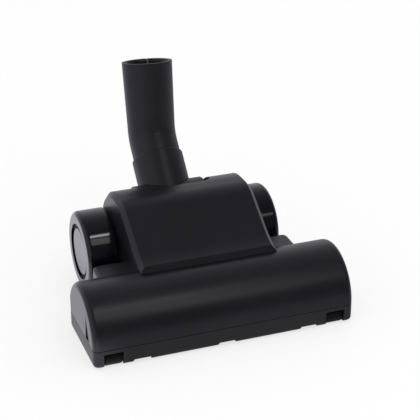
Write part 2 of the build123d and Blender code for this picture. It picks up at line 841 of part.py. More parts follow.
def bristle_span(start, end, root, tip, width):
    """Twisted strips for every row between two x places."""
    strips = []
    for row in range(bristle_rows):
        turn = 360.0 * row / bristle_rows + bristle_lead * abs(start)
        with BuildSketch(cross_section(roll_setback, roll_z, start, turn), mode=Mode.PRIVATE) as strip:
            with Locations(((root + tip) / 2, 0)):
                Rectangle(tip - root, width)
        way = 1 if end > start else -1
        twist = bristle_lead * (abs(end) - abs(start))
        strips.append(
            Solid.extrude_linear_with_rotation(
                strip.sketch.faces()[0],
                (start, front_y + roll_setback, roll_z),
                (end - start, 0, 0),
                twist * way,
            )
        )
    return strips


pulley_half = belt_width / 2 + belt_fit * 3 + flange_width
pulley_gap = cover_width / 2 + cover_side_gap
bristle_spans = (
    (0.0, bristle_end),
    (0.0, belt_centre + pulley_gap),
    (belt_centre - pulley_gap, -bristle_end),
)
with BuildPart() as roll_core:
    outline = [(-roll_end, roll_axle_radius + seat_fit), (-roll_end, roll_radius - roll_taper)]
    outline.append((-roll_end + roll_taper, roll_radius))
    outline += ribbed_outline(belt_centre, roll_pulley_radius, roll_radius - roll_pulley_radius)
    outline.append((roll_end - roll_taper, roll_radius))
    outline += [(roll_end, roll_radius - roll_taper), (roll_end, roll_axle_radius + seat_fit)]
    with BuildSketch(across(roll_setback, roll_z)):
        with BuildLine():
            Polyline(*outline, close=True)
        make_face()
    revolve(axis=Axis(across(roll_setback, roll_z).origin, (1, 0, 0)))
    for start, end in bristle_spans:
        channels = bristle_span(
            start, end, bristle_root - seat_gap, roll_radius + cut_over, bristle_width + 2 * seat_gap
        )
        add(channels, mode=Mode.SUBTRACT)
save(roll_core.part, "roll_core")

with BuildPart() as bristle_strips:
    for start, end in bristle_spans:
        add(bristle_span(start, end, bristle_root, bristle_radius, bristle_width))
save(bristle_strips.part, "bristle_strips")

axle_reach = holder_inner + holder_width - roll_axle_setin
roll_axle = turned(
    roll_setback,
    roll_z,
    [(-axle_reach, 0), (-axle_reach, roll_axle_radius), (axle_reach, roll_axle_radius), (axle_reach, 0)],
)
save(roll_axle, "roll_axle")

for name, side in (("left", -1), ("right", 1)):
    middle = holder_inner + holder_width / 2
    low, high = span(side, middle - bearing_width / 2, middle + bearing_width / 2)
    bearing = ring(roll_setback, roll_z, low, high, roll_axle_radius + running_fit, bearing_radius)
    save(bearing, "roll_bearing_" + name)
    low, high = span(side, holder_inner, holder_inner + holder_width)
    with BuildPart() as bearing_holder:
        with BuildSketch(cross_section(roll_setback, roll_z, low)):
            with Locations((0, (holder_floor_z - roll_z) / 2)):
                Rectangle(2 * holder_half, roll_z - holder_floor_z)
            Circle(holder_half)
            Circle(bearing_radius + seat_fit, mode=Mode.SUBTRACT)
        extrude(amount=high - low)
    save(bearing_holder.part, "bearing_holder_" + name)


# ribbed belt in mesh with both pulleys
belt_run = hypot(turbine_setback - roll_setback, turbine_z - roll_z)
belt_slope = degrees(atan2(turbine_z - roll_z, turbine_setback - roll_setback))
belt_step = roll_pulley_radius - turbine_pulley_radius
belt_open = degrees(atan2(sqrt(belt_run ** 2 - belt_step ** 2), belt_step))


def belt_plane(setback, height, angle):
    """Plane through a pulley's axle at an angle, whose sketch Y is the radius."""
    turn = radians(angle)
    origin = (0, front_y + setback, height)
    return Plane(origin=origin, x_dir=(1, 0, 0), z_dir=(0, -sin(turn), cos(turn)))


def belt_outline(radius):
    """Cross-section of the belt over a pulley of this radius: a band with ribs on its inner side."""
    pitch = belt_width / belt_ribs
    base = radius + belt_fit
    points = [(belt_centre - belt_width / 2, base + belt_thickness), (belt_centre - belt_width / 2, base)]
    for rib in range(belt_ribs):
        middle = belt_centre + (rib - (belt_ribs - 1) / 2) * pitch
        for share, level in rib_shape:
            inward = belt_fit * (2 - level) * (1 if share < 0 else -1)
            points.append((middle + pitch * share + inward, base - belt_rib_height * level))
    points += [(belt_centre + belt_width / 2, base), (belt_centre + belt_width / 2, base + belt_thickness)]
    return points


with BuildPart() as drive_belt:
    span_length = sqrt(belt_run ** 2 - belt_step ** 2)
    upper = belt_slope + belt_open
    lower = belt_slope - belt_open
    roll_place = (roll_setback, roll_z)
    turbine_place = (turbine_setback, turbine_z)
    for place, radius, start, wrap in (
        (roll_place, roll_pulley_radius, upper, 360 - 2 * belt_open),
        (turbine_place, turbine_pulley_radius, lower, 2 * belt_open),
    ):
        plane = belt_plane(*place, start)
        with BuildSketch(plane):
            with BuildLine():
                Polyline(*belt_outline(radius), close=True)
            make_face()
        revolve(axis=Axis(plane.origin, (1, 0, 0)), revolution_arc=wrap)
    for angle, way in ((upper, -1), (lower, 1)):
        with BuildSketch(belt_plane(*roll_place, angle)):
            with BuildLine():
                Polyline(*belt_outline(roll_pulley_radius), close=True)
            make_face()
        extrude(amount=way * span_length)
save(drive_belt.part, "drive_belt")

# cover that keeps hair and dust off the belt, open below where the roll drops out
with BuildPart() as belt_cover:
    clear = roll_pulley_radius + belt_thickness + cover_clearance
    small = turbine_pulley_radius + belt_thickness + cover_clearance
    start = belt_centre - cover_width / 2
    for extra, mode in ((cover_wall, Mode.ADD), (0, Mode.SUBTRACT)):
        with BuildSketch(Plane.YZ.offset(start)):
            with Locations(yz(roll_setback, roll_z)):
                Circle(clear + extra)
            with Locations(yz(turbine_setback, turbine_z)):
                Circle(small + extra)
            make_hull()
        extrude(amount=cover_width, mode=mode)
    with BuildSketch(Plane.YZ.offset(start)):
        with Locations(yz(roll_setback, roll_z - clear)):
            Rectangle(4 * clear, 2 * clear)
    extrude(amount=cover_width, mode=Mode.SUBTRACT)
save(belt_cover.part, "belt_cover")


# turbine: plates and curved blades on a shaft, in a case with an inlet and an outlet
with BuildPart() as turbine_rotor:
    for start, end, radius in (
        (-turbine_half, -turbine_half + turbine_plate, turbine_radius),
        (turbine_half - turbine_plate, turbine_half, turbine_radius),
        (-turbine_half, turbine_half, turbine_hub),
    ):
        with BuildSketch(cross_section(turbine_setback, turbine_z, start)):
            Circle(radius)
        extrude(amount=end - start)
    for blade in range(turbine_blades):
        turn = 360 * blade / turbine_blades
        with BuildSketch(cross_section(turbine_setback, turbine_z, -turbine_half + turbine_plate / 2, turn)):
            with BuildLine():
                ThreePointArc((turbine_hub - blade_sink, 0), blade_middle, blade_tip)
            trace(line_width=blade_thickness)
        extrude(amount=2 * turbine_half - turbine_plate)
    with BuildSketch(cross_section(turbine_setback, turbine_z, -turbine_half)):
        Circle(turbine_shaft_radius + seat_fit)
    extrude(amount=2 * turbine_half, mode=Mode.SUBTRACT)
save(turbine_rotor.part, "turbine_rotor")

case_inner_half = turbine_half + case_clearance
case_outer_half = case_inner_half + case_wall
bearing_outer = case_outer_half + turbine_bearing_width
shaft_left = belt_centre - pulley_half - shaft_stub
turbine_shaft = turned(
    turbine_setback,
    turbine_z,
    [
        (shaft_left, 0),
        (shaft_left, turbine_shaft_radius),
        (bearing_outer, turbine_shaft_radius),
        (bearing_outer, 0),
    ],
)
save(turbine_shaft, "turbine_shaft")

pulley_outline = ribbed_outline(belt_centre, turbine_pulley_radius, flange_height)
pulley_outline.append((pulley_outline[-1][0], turbine_shaft_radius + seat_fit))
pulley_outline.insert(0, (pulley_outline[0][0], turbine_shaft_radius + seat_fit))
save(turned(turbine_setback, turbine_z, pulley_outline), "turbine_pulley")

for name, side in (("left", -1), ("right", 1)):
    low, high = span(side, case_outer_half, bearing_outer)
    bearing = ring(turbine_setback, turbine_z, low, high, turbine_shaft_radius + running_fit, turbine_bearing_radius)
    save(bearing, "turbine_bearing_" + name)


def case_section(inset):
    """Side outline of the turbine's case with its inlet and outlet ducts."""
    circle_radius = turbine_radius + case_clearance + case_wall - inset
    with BuildSketch(Plane.YZ.offset(-case_outer_half + inset)) as section:
        with Locations(yz(turbine_setback, turbine_z)):
            Circle(circle_radius)
        inlet_start = nose_depth + seat_gap - (cut_over if inset else 0)
        low = inlet_low - case_wall + inset
        high = inlet_high + case_wall - inset
        under = turbine_z - circle_radius
        with BuildLine():
            Polyline(
                yz(inlet_start, low),
                yz(turbine_setback, under),
                yz(turbine_setback, turbine_z),
                yz(turbine_setback - circle_radius * cos(radians(inlet_meets)), high),
                yz(inlet_start, high),
                close=True,
            )
        make_face()
        roof = turbine_z + circle_radius
        floor = outlet_low + inset
        with BuildLine():
            Polyline(
                yz(turbine_setback, roof),
                yz(outlet_end, roof),
                yz(outlet_end, floor),
                yz(turbine_setback, floor),
                close=True,
            )
        make_face()
    return section.sketch


with BuildPart() as turbine_case:
    extrude(case_section(0), amount=2 * case_outer_half)
    for side in (-1, 1):
        low, high = span(side, case_outer_half, bearing_outer)
        with BuildSketch(cross_section(turbine_setback, turbine_z, low)):
            Circle(turbine_bearing_radius + case_wall)
        extrude(amount=high - low)
    extrude(case_section(case_wall), amount=2 * case_inner_half, mode=Mode.SUBTRACT)
    with BuildSketch(cross_section(pivot_setback, pivot_z, -case_outer_half - cut_over)):
        Circle(drum_radius + case_gap)
    extrude(amount=2 * (case_outer_half + cut_over), mode=Mode.SUBTRACT)
    for side in (-1, 1):
        low, high = span(side, case_outer_half, bearing_outer)
        with BuildSketch(cross_section(turbine_setback, turbine_z, low)):
            Circle(turbine_bearing_radius + seat_fit)
        extrude(amount=high - low, mode=Mode.SUBTRACT)
    with BuildSketch(cross_section(turbine_setback, turbine_z, -case_outer_half - cut_over)):
        Circle(turbine_shaft_radius + case_gap)
    extrude(amount=2 * (case_outer_half + cut_over), mode=Mode.SUBTRACT)
save(turbine_case.part, "turbine_case")


# neck: drum with trunnions and a stub, bushes, sleeve, swivelling tube and its snap ring
with BuildPart() as pivot_drum:
    plane = across(pivot_setback, pivot_z)
    with BuildSketch(plane):
        with BuildLine():
            Polyline(
                (-trunnion_reach, 0),
                (-trunnion_reach, trunnion_radius),
                (-drum_half, trunnion_radius),
                (-drum_half, drum_radius),
                (drum_half, drum_radius),
                (drum_half, trunnion_radius),
                (trunnion_reach, trunnion_radius),
                (trunnion_reach, 0),
                close=True,
            )
        make_face()
    revolve(axis=Axis(plane.origin, (1, 0, 0)))
    with BuildSketch(along_neck(drum_radius / 2)):
        Circle(sleeve_bore - running_fit)
    extrude(amount=stub_end - drum_radius / 2)
    hollow_radius = drum_radius - drum_wall
    with BuildSketch(cross_section(pivot_setback, pivot_z, -drum_half + drum_wall)):
        Circle(hollow_radius)
    extrude(amount=2 * (drum_half - drum_wall), mode=Mode.SUBTRACT)
    with BuildSketch(along_neck(drum_radius / 2)):
        Circle(stub_bore)
    extrude(amount=stub_end, mode=Mode.SUBTRACT)
    first, last = drum_window
    corners = [(0.0, 0.0)]
    for step in range(window_steps + 1):
        angle = radians(first + (last - first) * step / window_steps)
        corners.append((window_reach * cos(angle), window_reach * sin(angle)))
    with BuildSketch(cross_section(pivot_setback, pivot_z, -duct_half)):
        with BuildLine():
            Polyline(*corners, close=True)
        make_face()
    extrude(amount=2 * duct_half, mode=Mode.SUBTRACT)
save(pivot_drum.part, "pivot_drum")

for name, side in (("left", -1), ("right", 1)):
    low, high = span(side, bracket_inner + seat_gap, bracket_inner + bracket_thickness - seat_gap)
    bush = ring(pivot_setback, pivot_z, low, high, trunnion_radius + running_fit, bush_radius)
    save(bush, "pivot_bush_" + name)

with BuildPart() as neck_sleeve:
    with BuildSketch(along_neck(drum_radius / 2)):
        Circle(sleeve_radius)
        Circle(sleeve_bore, mode=Mode.SUBTRACT)
    extrude(amount=sleeve_end - drum_radius / 2)
    with BuildSketch(cross_section(pivot_setback, pivot_z, -drum_half)):
        Circle(drum_radius + seat_gap)
    extrude(amount=2 * drum_half, mode=Mode.SUBTRACT)
    with BuildSketch(along_neck(snap_ring_at)):
        Circle(sleeve_bore + snap_ring_depth / 2 + running_fit)
    extrude(amount=snap_ring_width, mode=Mode.SUBTRACT)
    top_face = neck_sleeve.faces().sort_by(Axis(along_neck(0).origin, (0, *sleeve_way)))[-1]
    fillet(top_face.edges().sort_by(SortBy.LENGTH)[-1], sleeve_rim_round)
save(neck_sleeve.part, "neck_sleeve")

with BuildPart() as whole_tube:
    taper_start = bend_reach + taper_lead
    stop_at = tube_length - socket_length
    for radius, reach, mode in (
        (tube_radius, taper_start, Mode.ADD),
        (mouth_radius, tube_length, Mode.ADD),
        (tube_bore, stop_at - stop_width, Mode.SUBTRACT),
    ):
        if radius == mouth_radius:
            with BuildSketch(along_tube(taper_start)):
                Circle(tube_radius)
            with BuildSketch(along_tube(tube_length)):
                Circle(mouth_radius)
            loft()
        else:
            with BuildLine():
                FilletPolyline(
                    along_neck(spigot_start).origin,
                    along_neck(elbow_distance).origin,
                    along_tube(reach).origin,
                    radius=elbow_bend,
                )
            with BuildSketch(along_neck(spigot_start)):
                Circle(radius)
            sweep(mode=mode)
    with BuildSketch(along_tube(stop_at - stop_width)):
        Circle(stop_radius)
    extrude(amount=stop_width, mode=Mode.SUBTRACT)
    with BuildSketch(along_tube(stop_at)):
        Circle(socket_radius)
    extrude(amount=socket_length, mode=Mode.SUBTRACT)
    mouth_face = whole_tube.faces().sort_by(Axis(along_tube(0).origin, tube_way))[-1]
    lip = mouth_face.edges().sort_by(SortBy.LENGTH)[0]
    chamfer(lip, lead_in_radius - socket_radius, lead_in_depth, reference=mouth_face)
    with BuildSketch(along_tube(tube_length - slit_length)):
        with Locations((slit_x, (socket_radius + mouth_radius) / 2)):
            Rectangle(slit_width, 2 * (mouth_radius - socket_radius))
    extrude(amount=slit_length, mode=Mode.SUBTRACT)
    with BuildSketch(along_neck(snap_ring_at)):
        Circle(tube_radius + snap_ring_depth)
        Circle(tube_radius - snap_ring_depth, mode=Mode.SUBTRACT)
    extrude(amount=snap_ring_width, mode=Mode.SUBTRACT)

# the tube is welded from a spigot, a bend and the wand's socket, each moulded on a plain core
spigot_weld = along_neck(elbow_distance - bend_reach)
socket_weld = along_tube(bend_reach)
with BuildPart() as neck_spigot:
    add(whole_tube.part)
    split(bisect_by=spigot_weld, keep=Keep.BOTTOM)
save(neck_spigot.part, "neck_spigot")
with BuildPart() as neck_elbow:
    add(whole_tube.part)
    split(bisect_by=spigot_weld, keep=Keep.TOP)
    split(bisect_by=socket_weld, keep=Keep.BOTTOM)
save(neck_elbow.part, "neck_elbow")
with BuildPart() as neck_tube:
    add(whole_tube.part)
    split(bisect_by=socket_weld, keep=Keep.TOP)
save(neck_tube.part, "neck_tube")

with BuildPart() as snap_ring:
    with BuildSketch(along_neck(snap_ring_at + running_fit)):
        Circle(sleeve_bore + snap_ring_depth / 2)
        Circle(tube_radius - snap_ring_depth + running_fit, mode=Mode.SUBTRACT)
        with Locations((0, tube_radius)):
            Rectangle(3 * snap_ring_width, 4 * snap_ring_depth, mode=Mode.SUBTRACT)
    extrude(amount=snap_ring_width - 2 * running_fit)
save(snap_ring.part, "snap_ring")


def screw_set(places, foot, head, head_height, radius, length):
    """Screws that stand head down on one level."""
    with BuildPart() as screws:
        with BuildSketch(Plane.XY.offset(foot)):
            for place in places:
                for side in (-1, 1):
                    with Locations((side * place[0], front_y + place[1])):
                        Circle(head)
        extrude(amount=head_height)
        with BuildSketch(Plane.XY.offset(foot + head_height)):
            for place in places:
                for side in (-1, 1):
                    with Locations((side * place[0], front_y + place[1])):
                        Circle(radius)
        extrude(amount=length)
    return screws.part


# fasteners
front_screws = screw_set(
    [housing_screw_front], sole_z + screw_sink, screw_head, screw_head_height, screw_radius, screw_length
)
back_screws = screw_set(
    [housing_screw_back], deck_floor_z + screw_sink, screw_head, screw_head_height, screw_radius, screw_length
)
with BuildPart() as housing_screws:
    add(front_screws)
    add(back_screws)
save(housing_screws.part, "housing_screws")
hood_places = [(hood_screw_x, setback) for setback in hood_screw_setbacks]
ledge_z = deck_z - ledge_thickness
hood_screws = screw_set(
    hood_places, ledge_z - screw_head_height, screw_head, screw_head_height, screw_radius, hood_screw_length
)
save(hood_screws, "hood_screws")
plate_head_height = plate_thickness / 2
plate_screws = screw_set(
    plate_screw_places, sole_z, plate_screw_head, plate_head_height, plate_screw_radius, plate_screw_length
)
save(plate_screws, "plate_screws")
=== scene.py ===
import bpy
import random
from math import cos, pi, radians, sin
from mathutils import Matrix, Vector


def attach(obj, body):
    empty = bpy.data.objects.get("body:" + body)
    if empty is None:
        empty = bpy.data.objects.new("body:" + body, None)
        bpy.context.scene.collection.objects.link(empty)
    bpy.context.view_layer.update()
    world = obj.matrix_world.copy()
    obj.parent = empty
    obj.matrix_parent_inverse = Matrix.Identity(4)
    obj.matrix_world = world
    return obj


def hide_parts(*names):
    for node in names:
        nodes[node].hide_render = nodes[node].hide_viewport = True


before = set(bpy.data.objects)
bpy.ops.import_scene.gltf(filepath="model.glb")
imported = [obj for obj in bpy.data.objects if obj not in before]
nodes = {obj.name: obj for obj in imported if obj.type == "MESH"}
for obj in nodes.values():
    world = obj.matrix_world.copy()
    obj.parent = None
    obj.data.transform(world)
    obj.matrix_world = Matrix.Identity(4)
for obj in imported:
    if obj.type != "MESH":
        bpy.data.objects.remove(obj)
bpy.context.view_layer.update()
print("frame loaded,", len(nodes), "nodes")


# small helpers
def deselectAll():
    if bpy.context.object and bpy.context.object.mode != "OBJECT":
        bpy.ops.object.mode_set(mode="OBJECT")
    bpy.ops.object.select_all(action="DESELECT")


def settle(thing):
    deselectAll()
    thing.select_set(True)
    bpy.context.view_layer.objects.active = thing
    bpy.ops.object.transform_apply(location=True, rotation=True, scale=True)


def addNode(tree, kind, place, **values):
    node = tree.nodes.new(kind)
    node.location = place
    for key, value in values.items():
        if hasattr(node, key):
            setattr(node, key, value)
        else:
            node.inputs[key].default_value = value
    return node


def newMaterial(name):
    material = bpy.data.materials.new(name)
    material.use_nodes = True
    tree = material.node_tree
    return material, tree, tree.nodes["Principled BSDF"]


def noiseOf(tree, place, vector, scale, detail, roughness):
    noise = addNode(
        tree, "ShaderNodeTexNoise", place, Scale=scale, Detail=detail, Roughness=roughness
    )
    tree.links.new(vector, noise.inputs["Vector"])
    return noise.outputs["Fac"]


def rampOf(tree, place, value, stops):
    ramp = tree.nodes.new("ShaderNodeValToRGB")
    ramp.location = place
    first, last = ramp.color_ramp.elements
    first.position, first.color = stops[0]
    last.position, last.color = stops[-1]
    for position, colour in stops[1:-1]:
        ramp.color_ramp.elements.new(position).color = colour
    tree.links.new(value, ramp.inputs["Fac"])
    return ramp.outputs["Color"]


def remap(tree, place, value, start, end, smooth=False):
    node = tree.nodes.new("ShaderNodeMapRange")
    node.location = place
    if smooth:
        node.interpolation_type = "SMOOTHSTEP"
    node.inputs["From Min"].default_value, node.inputs["From Max"].default_value = start
    node.inputs["To Min"].default_value, node.inputs["To Max"].default_value = end
    tree.links.new(value, node.inputs["Value"])
    return node.outputs["Result"]


def mathOf(tree, place, operation, first, second):
    node = addNode(tree, "ShaderNodeMath", place, operation=operation)
    tree.links.new(first, node.inputs[0])
    tree.links.new(second, node.inputs[1])
    return node.outputs["Value"]


def chooseBy(tree, place, test, otherwise, chosen):
    mix = tree.nodes.new("ShaderNodeMixShader")
    mix.location = place
    tree.links.new(test, mix.inputs["Fac"])
    tree.links.new(otherwise, mix.inputs[1])
    tree.links.new(chosen, mix.inputs[2])
    return mix.outputs["Shader"]


def bumpOf(tree, place, height, strength, distance):
    bump = addNode(tree, "ShaderNodeBump", place, Strength=strength, Distance=distance)
    tree.links.new(height, bump.inputs["Height"])
    return bump


def grey(value, blue=1.0):
    return (value, value, value * blue, 1)


def cool(value):  # a slightly blue white
    return (value * 0.98, value * 0.98, value * 1.06, 1)


# plastics: near-black, with moulding grain, faint flow marks, and edges painted paler as a
# painted highlight
shellLook = {
    "dark": grey(0.0026, 1.9), "pale": grey(0.0042, 1.9), "paintedEdgeHighlight": grey(0.014, 1.2),
    "rough": 0.33, "spread": 0.05, "flow": 18.0,
    "grain": 1500.0, "grainDepth": 0.05, "edge": 0.0006,
}
neckLook = {
    "dark": grey(0.0028, 1.9), "pale": grey(0.0044, 1.9), "paintedEdgeHighlight": grey(0.013, 1.2),
    "rough": 0.44, "spread": 0.05, "flow": 16.0,
    "grain": 1500.0, "grainDepth": 0.06, "edge": 0.0006,
}
trayLook = {
    "dark": grey(0.0040, 1.5), "pale": grey(0.0062, 1.5), "paintedEdgeHighlight": grey(0.018, 1.1),
    "rough": 0.46, "spread": 0.05, "flow": 22.0,
    "grain": 1300.0, "grainDepth": 0.09, "edge": 0.0005,
}
wheelLook = {
    "dark": grey(0.0018, 2.0), "pale": grey(0.0030, 2.0), "paintedEdgeHighlight": grey(0.008, 1.3),
    "rough": 0.10, "spread": 0.04, "flow": 26.0,
    "grain": 900.0, "grainDepth": 0.015, "edge": 0.0005,
}
# rollers: base darker and less glossy (IOR 1.3) than the shell, as painted shade for the recess
# they sit in
recessShadeRollerLook = {
    "dark": grey(0.0016, 1.6), "pale": grey(0.0026, 1.6), "paintedEdgeHighlight": grey(0.006),
    "rough": 0.52, "spread": 0.05, "flow": 24.0,
    "grain": 1000.0, "grainDepth": 0.12, "edge": 0.0003, "ior": 1.3,
}
innerLook = {
    "dark": grey(0.055), "pale": grey(0.08), "paintedEdgeHighlight": grey(0.12),
    "rough": 0.5, "spread": 0.06, "flow": 30.0,
    "grain": 1200.0, "grainDepth": 0.1, "edge": 0.0003,
}
soleLook = {
    "dark": grey(0.010, 1.05), "pale": grey(0.016, 1.05), "paintedEdgeHighlight": grey(0.05),
    "rough": 0.42, "spread": 0.08, "flow": 16.0,
    "grain": 1100.0, "grainDepth": 0.12, "edge": 0.0004,
}
bushLook = {
    "dark": (0.55, 0.54, 0.50, 1), "pale": (0.66, 0.65, 0.61, 1), "paintedEdgeHighlight": (0.74, 0.73, 0.70, 1),
    "rough": 0.38, "spread": 0.05, "flow": 60.0,
    "grain": 1600.0, "grainDepth": 0.05, "edge": 0.0002,
}
# what all of them share: where the noise turns from dark to pale, how far the normals part at an
# edge that gets the painted highlight, how deep the grain may be
plasticShares = {
    "flowStops": (0.32, 0.68), "edgeFrom": (0.995, 0.80), "grainReach": 0.0002, "ior": 1.5,
}


def mouldedPlastic(name, look):
    material, tree, shader = newMaterial(name)
    link = tree.links.new
    coords = addNode(tree, "ShaderNodeTexCoord", (-1500, 0)).outputs["Object"]
    flow = noiseOf(tree, (-1250, 300), coords, look["flow"], 4.0, 0.6)
    grain = noiseOf(tree, (-1250, -300), coords, look["grain"], 2.0, 0.5)

    # painted edge highlight: edges painted paler where the rounded normal leaves the face's own
    rounded = addNode(tree, "ShaderNodeBevel", (-1250, -600), samples=6, Radius=look["edge"])
    shape = addNode(tree, "ShaderNodeNewGeometry", (-1250, -800))
    across = addNode(tree, "ShaderNodeVectorMath", (-1000, -700), operation="DOT_PRODUCT")
    link(rounded.outputs["Normal"], across.inputs[0])
    link(shape.outputs["Normal"], across.inputs[1])
    edge = remap(tree, (-800, -700), across.outputs["Value"], plasticShares["edgeFrom"], (0, 1))

    darkStop, paleStop = plasticShares["flowStops"]
    body = rampOf(
        tree, (-1000, 300), flow, [(darkStop, look["dark"]), (paleStop, look["pale"])]
    )
    edgeHighlightMix = addNode(tree, "ShaderNodeMix", (-500, 300), data_type="RGBA")
    link(mathOf(tree, (-650, -500), "MULTIPLY", edge, flow), edgeHighlightMix.inputs["Factor"])
    link(body, edgeHighlightMix.inputs["A"])
    edgeHighlightMix.inputs["B"].default_value = look["paintedEdgeHighlight"]
    link(edgeHighlightMix.outputs["Result"], shader.inputs["Base Color"])

    glossRange = (look["rough"] - look["spread"], look["rough"] + look["spread"])
    link(remap(tree, (-800, 0), flow, (0, 1), glossRange), shader.inputs["Roughness"])

    bump = bumpOf(tree, (-500, -300), grain, look["grainDepth"], plasticShares["grainReach"])
    link(rounded.outputs["Normal"], bump.inputs["Normal"])
    link(bump.outputs["Normal"], shader.inputs["Normal"])
    shader.inputs["IOR"].default_value = look.get("ior", plasticShares["ior"])
    return material


# metals: turned all along the X axis, so the marks run round it
steelLook = {"colour": (0.56, 0.56, 0.57, 1), "rough": 0.28, "marks": 900.0}
bronzeLook = {"colour": (0.50, 0.33, 0.15, 1), "rough": 0.42, "marks": 1400.0}
metalShares = {
    "acrossMarks": 12, "darkest": 0.72, "markStops": (0.3, 0.7), "smoother": 0.08,
    "rougher": 0.1, "depth": 0.12, "reach": 0.0001,
}


def turnedMetal(name, look):
    material, tree, shader = newMaterial(name)
    link = tree.links.new
    coords = addNode(tree, "ShaderNodeTexCoord", (-1200, 0))
    stretch = addNode(tree, "ShaderNodeMapping", (-1000, 0))
    along = look["marks"] / metalShares["acrossMarks"]
    stretch.inputs["Scale"].default_value = (look["marks"], along, along)
    link(coords.outputs["Object"], stretch.inputs["Vector"])
    marks = noiseOf(tree, (-800, 0), stretch.outputs["Vector"], 1.0, 5.0, 0.7)
    dark = [metalShares["darkest"] * part for part in look["colour"][:3]] + [1]
    darkStop, paleStop = metalShares["markStops"]
    tone = rampOf(tree, (-550, 200), marks, [(darkStop, dark), (paleStop, look["colour"])])
    link(tone, shader.inputs["Base Color"])
    glossRange = (look["rough"] - metalShares["smoother"], look["rough"] + metalShares["rougher"])
    link(remap(tree, (-550, -50), marks, (0, 1), glossRange), shader.inputs["Roughness"])
    bump = bumpOf(tree, (-300, -250), marks, metalShares["depth"], metalShares["reach"])
    link(bump.outputs["Normal"], shader.inputs["Normal"])
    shader.inputs["Metallic"].default_value = 1.0
    return material


# rubber and nylon: fine flecks
beltLook = {
    "dark": grey(0.012), "pale": grey(0.022), "rough": 0.72, "flecks": 700.0, "depth": 0.3,
}
bristleLook = {
    "dark": grey(0.035), "pale": grey(0.075), "rough": 0.5, "flecks": 500.0, "depth": 0.2,
}
softShares = {"fleckStops": (0.35, 0.65), "reach": 0.0003}


def softStuff(name, look):
    material, tree, shader = newMaterial(name)
    link = tree.links.new
    coords = addNode(tree, "ShaderNodeTexCoord", (-1000, 0)).outputs["Object"]
    fleck = noiseOf(tree, (-800, 0), coords, look["flecks"], 5.0, 0.65)
    darkStop, paleStop = softShares["fleckStops"]
    tone = rampOf(
        tree, (-550, 200), fleck, [(darkStop, look["dark"]), (paleStop, look["pale"])]
    )
    link(tone, shader.inputs["Base Color"])
    bump = bumpOf(tree, (-300, -250), fleck, look["depth"], softShares["reach"])
    link(bump.outputs["Normal"], shader.inputs["Normal"])
    shader.inputs["Roughness"].default_value = look["rough"]
    return material


finishes = {
    "shell": mouldedPlastic("shellPlastic", shellLook),
    "neck": mouldedPlastic("neckPlastic", neckLook),
    "tray": mouldedPlastic("trayPlastic", trayLook),
    "wheel": mouldedPlastic("wheelPlastic", wheelLook),
    "roller": mouldedPlastic("recessShadeRollerPlastic", recessShadeRollerLook),
    "inner": mouldedPlastic("innerPlastic", innerLook),
    "sole": mouldedPlastic("solePlastic", soleLook),
    "bush": mouldedPlastic("bushPlastic", bushLook),
    "steel": turnedMetal("groundSteel", steelLook),
    "bronze": turnedMetal("sinteredBronze", bronzeLook),
    "belt": softStuff("beltRubber", beltLook),
    "bristle": softStuff("bristleNylon", bristleLook),
}
print("finishes made:", len(finishes))

# which finish each CAD node shows
nodeFinish = {
    "shell": ["upper_housing", "hood_cover"],
    "neck": ["neck_sleeve", "neck_spigot", "neck_elbow", "neck_tube"],
    "tray": ["lower_housing", "pivot_drum"],
    # the rollers' finish is darkened as painted shade for their recess
    "roller": ["front_roller_left", "front_roller_right"],
    "wheel": ["wheel_left", "wheel_right", "hub_cap_left", "hub_cap_right"],
    "inner": [
        "turbine_case", "belt_cover", "bearing_holder_left", "bearing_holder_right",
        "roll_core", "turbine_rotor", "turbine_pulley",
    ],
    "sole": ["sole_plate"],
    "bush": ["pivot_bush_left", "pivot_bush_right"],
    "steel": [
        "wheel_axle_left", "wheel_axle_right", "roller_pin_left", "roller_pin_right",
        "housing_screws", "hood_screws", "plate_screws", "snap_ring", "roll_axle",
        "turbine_shaft",
    ],
    "bronze": [
        "turbine_bearing_left", "turbine_bearing_right", "roll_bearing_left",
        "roll_bearing_right",
    ],
    "belt": ["drive_belt"],
    "bristle": ["bristle_strips"],
}
for finish, names in nodeFinish.items():
    for name in names:
        thing = nodes[name]
        if not thing.material_slots:
            thing.data.materials.append(finishes[finish])
        for slot in thing.material_slots:
            slot.material = finishes[finish]
print("finishes on the frame's nodes")


# bristle tufts in two helical rows, in place of the plain strips
tufts = {
    "seed": 12, "rows": 2, "pitch": 0.0026, "end": 0.0776,
    "axis": (-0.072525, 0.023), "root": 0.0119, "tip": 0.0214,  # the roll's Y and Z, and radii
    "beltGap": (-0.0505, -0.0355), "turnPerMetre": radians(1150.5),
    "hairs": 7, "hairRadius": 0.00042, "hairSides": 5, "spread": 0.0011,
    "straightShare": 0.45, "bends": [(0.3, 0.0002, 0.85), (0.25, 0.0003, 0.6)],
    "lean": (0.07, 0.12), "twist": (0, 6.2),
    "hairScale": (0.93, 0.99), "tuftScale": (0.96, 1.0), "smoothUpTo": radians(40),
}


def makeHair():
    deselectAll()
    length = tufts["tip"] - tufts["root"]
    straight = tufts["straightShare"] * length
    bpy.ops.mesh.primitive_cylinder_add(
        vertices=tufts["hairSides"], radius=tufts["hairRadius"], depth=straight,
        location=(0, 0, straight / 2),
    )
    hair = bpy.context.object
    bpy.ops.object.transform_apply(location=True)
    top = max(hair.data.polygons, key=lambda face: face.center.z).index
    for face in hair.data.polygons:
        face.select = face.index == top
    bpy.ops.object.mode_set(mode="EDIT")
    bpy.ops.mesh.select_mode(type="FACE")
    for share, aside, width in tufts["bends"]:
        step = {"value": (aside, 0, share * length)}
        bpy.ops.mesh.extrude_region_move(TRANSFORM_OT_translate=step)
        bpy.ops.transform.resize(value=(width, width, 1))
    bpy.ops.object.mode_set(mode="OBJECT")
    return hair


def copyOf(thing):
    copy = thing.copy()
    copy.data = thing.data.copy()
    bpy.context.scene.collection.objects.link(copy)
    return copy


def joined(things, name):
    deselectAll()
    for thing in things:
        thing.select_set(True)
    bpy.context.view_layer.objects.active = things[0]
    bpy.ops.object.join()
    whole = bpy.context.object
    whole.name = name
    return whole


